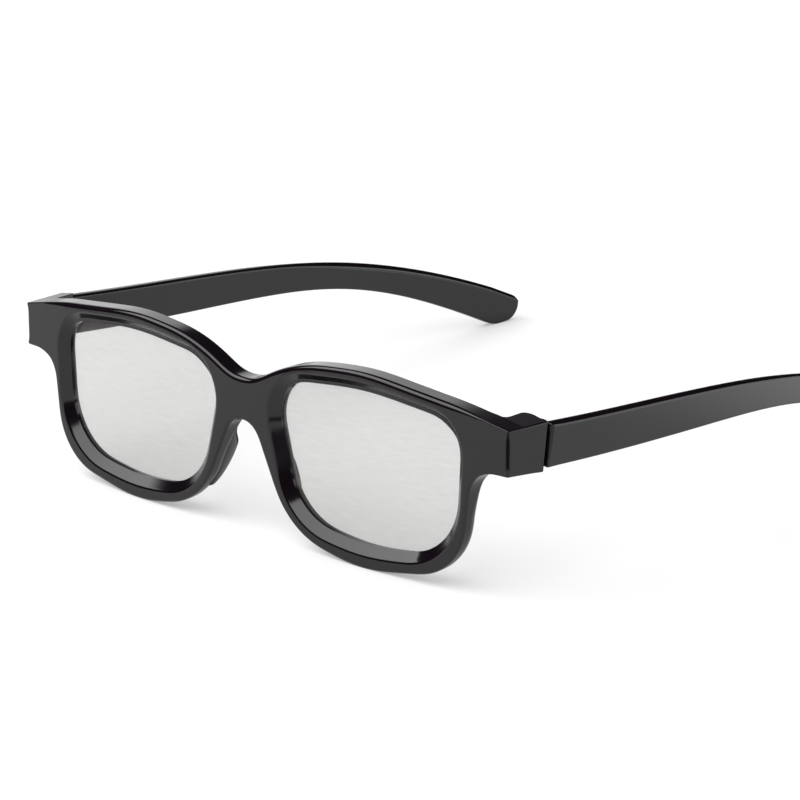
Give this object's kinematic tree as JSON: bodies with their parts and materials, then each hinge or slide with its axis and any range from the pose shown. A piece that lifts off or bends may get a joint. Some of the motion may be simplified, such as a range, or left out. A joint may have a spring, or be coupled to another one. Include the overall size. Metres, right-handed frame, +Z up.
{
  "type": "polarised cinema glasses",
  "caption": "Black plastic cinema glasses: a bowed one-piece front with moulded nose pads, pale polarising film lenses and slim curved temples that fold inwards on hidden pins.",
  "frame": {"origin": "middle of the part's outline on the table that the rims and the temple tips stand on", "axes": "+X towards the wearer's left, +Y from the front face to the temple tips, +Z up"},
  "size_m": [0.1458, 0.168, 0.0423],
  "materials": {
    "black_plastic": "injection-moulded black plastic, satin to gloss, lightly scuffed",
    "lens_film": "pale neutral grey laminated film, smooth",
    "pin_steel": "drawn steel wire"
  },
  "bodies": {
    "front": {"front_frame": "black_plastic", "lens_retarder_left": "lens_film", "lens_polariser_left": "lens_film", "lens_carrier_left": "lens_film", "lens_retarder_right": "lens_film", "lens_polariser_right": "lens_film", "lens_carrier_right": "lens_film", "hinge_pin_left": "pin_steel", "hinge_pin_right": "pin_steel"},
    "temple_left_body": {"temple_left": "black_plastic"},
    "temple_right_body": {"temple_right": "black_plastic"}
  },
  "joints": [
    {"name": "temple_left_hinge", "type": "hinge", "parent": "front", "child": "temple_left_body", "pos_m": [0.06885, -0.07166, 0.03247], "axis": [0, 0, 1], "range_deg": [0, 90]},
    {"name": "temple_right_hinge", "type": "hinge", "parent": "front", "child": "temple_right_body", "pos_m": [-0.06885, -0.07166, 0.03247], "axis": [0, 0, -1], "range_deg": [0, 86]}
  ]
}
